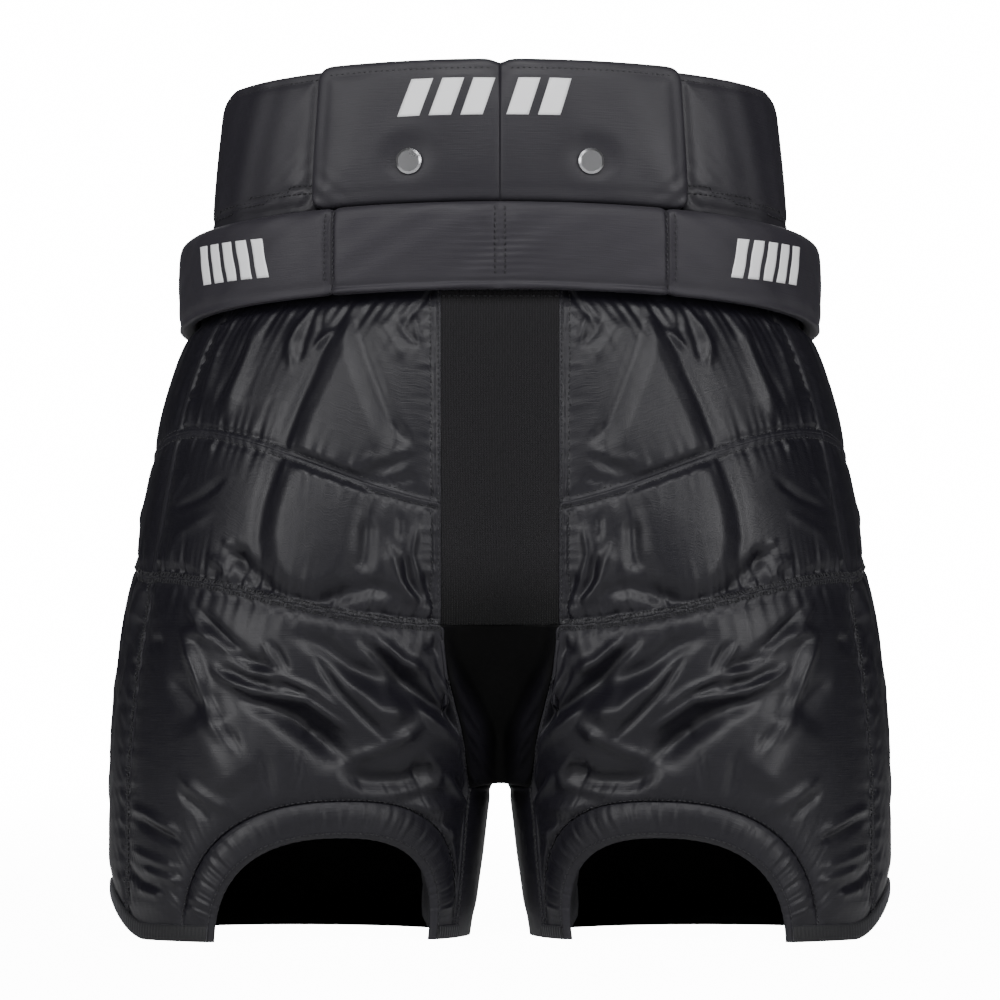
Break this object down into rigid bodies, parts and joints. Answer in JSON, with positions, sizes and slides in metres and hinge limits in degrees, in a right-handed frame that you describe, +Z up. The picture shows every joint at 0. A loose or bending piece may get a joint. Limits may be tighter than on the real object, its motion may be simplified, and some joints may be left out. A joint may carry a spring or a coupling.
{
  "type": "hockey pants",
  "caption": "Padded goalkeeper-style ice hockey pants: nylon shell over foam and guards, wrap belt, raised studded back pad, arched cut-outs behind the thighs.",
  "frame": {"origin": "midway between the legs and midway front to back, on the plane the hems stand on", "axes": "+Z up from the hems to the waist, +Y towards the wearer's front, +X towards the wearer's right"},
  "size_m": [0.519, 0.2798, 0.5829],
  "materials": {
    "shell_nylon": "satin",
    "belt_nylon": "satin",
    "pad_nylon": "satin",
    "stretch_knit": "matte",
    "binding_tape": "matte",
    "lining": "matte",
    "hook_and_loop": "matte",
    "foam": "matte",
    "guard_plastic": "satin",
    "button_plastic": "satin",
    "steel": "satin"
  },
  "bodies": {
    "legs": {"rear_thigh_panel_left": "shell_nylon", "rear_thigh_panel_right": "shell_nylon", "arch_facing_left": "shell_nylon", "arch_facing_right": "shell_nylon", "side_thigh_panel_left": "shell_nylon", "side_thigh_panel_right": "shell_nylon", "front_thigh_panel_left": "shell_nylon", "front_thigh_panel_right": "shell_nylon", "inner_leg_panel_left": "shell_nylon", "inner_leg_panel_right": "shell_nylon", "front_hem_binding_left": "binding_tape", "front_hem_binding_right": "binding_tape", "thigh_guard_left": "guard_plastic", "thigh_guard_right": "guard_plastic", "thigh_foam_left": "foam", "thigh_foam_right": "foam", "leg_lining_left": "lining", "leg_lining_right": "lining", "crotch_gusset": "shell_nylon"},
    "waist": {"mid_seat_panel_left": "shell_nylon", "mid_seat_panel_right": "shell_nylon", "mid_hip_panel_left": "shell_nylon", "mid_hip_panel_right": "shell_nylon", "stretch_seat_panel": "stretch_knit", "upper_seat_panel_left": "shell_nylon", "upper_seat_panel_right": "shell_nylon", "upper_hip_panel_left": "shell_nylon", "upper_hip_panel_right": "shell_nylon", "front_waistband_left": "shell_nylon", "front_waistband_right": "shell_nylon", "seat_pad_left": "foam", "seat_pad_right": "foam", "hip_cap_left": "guard_plastic", "hip_cap_right": "guard_plastic", "hip_foam_left": "foam", "hip_foam_right": "foam", "waist_lining_left": "lining", "waist_lining_right": "lining", "fly_placket": "shell_nylon", "lace_eyelets": "steel", "front_suspender_buttons": "button_plastic", "tailbone_plate": "guard_plastic", "tailbone_foam": "foam", "back_pad_base": "pad_nylon", "belt_back": "belt_nylon", "belt_left": "belt_nylon", "belt_right": "belt_nylon", "belt_loop_patch": "hook_and_loop", "belt_tab_anchor": "belt_nylon"},
    "back_pad": {"back_pad_wing_left": "pad_nylon", "back_pad_wing_right": "pad_nylon", "back_pad_cover_left": "pad_nylon", "back_pad_cover_right": "pad_nylon", "back_pad_foam": "foam", "back_pad_plate": "guard_plastic", "back_pad_lining": "lining", "back_pad_studs": "steel", "back_suspender_buttons": "button_plastic"},
    "belt_tab": {"belt_tab": "belt_nylon", "tab_hook_patch": "hook_and_loop"}
  },
  "joints": [
    {"name": "hip_fold", "type": "hinge", "parent": "legs", "child": "waist", "pos_m": [0, 0.025, 0.29], "axis": [-1, 0, 0], "range_deg": [0, 18], "stiffness_Nm_per_rad": 25, "deforming": ["mid_seat_panel_left", "mid_seat_panel_right", "mid_hip_panel_left", "mid_hip_panel_right", "stretch_seat_panel"]},
    {"name": "back_pad_fold", "type": "hinge", "parent": "waist", "child": "back_pad", "pos_m": [0, -0.1315, 0.489], "axis": [1, 0, 0], "range_deg": [0, 18], "stiffness_Nm_per_rad": 3},
    {"name": "belt_tab_open", "type": "hinge", "parent": "waist", "child": "belt_tab", "pos_m": [0.03511, 0.13427, 0.402], "axis": [0, 0, -1], "range_deg": [0, 110]}
  ]
}
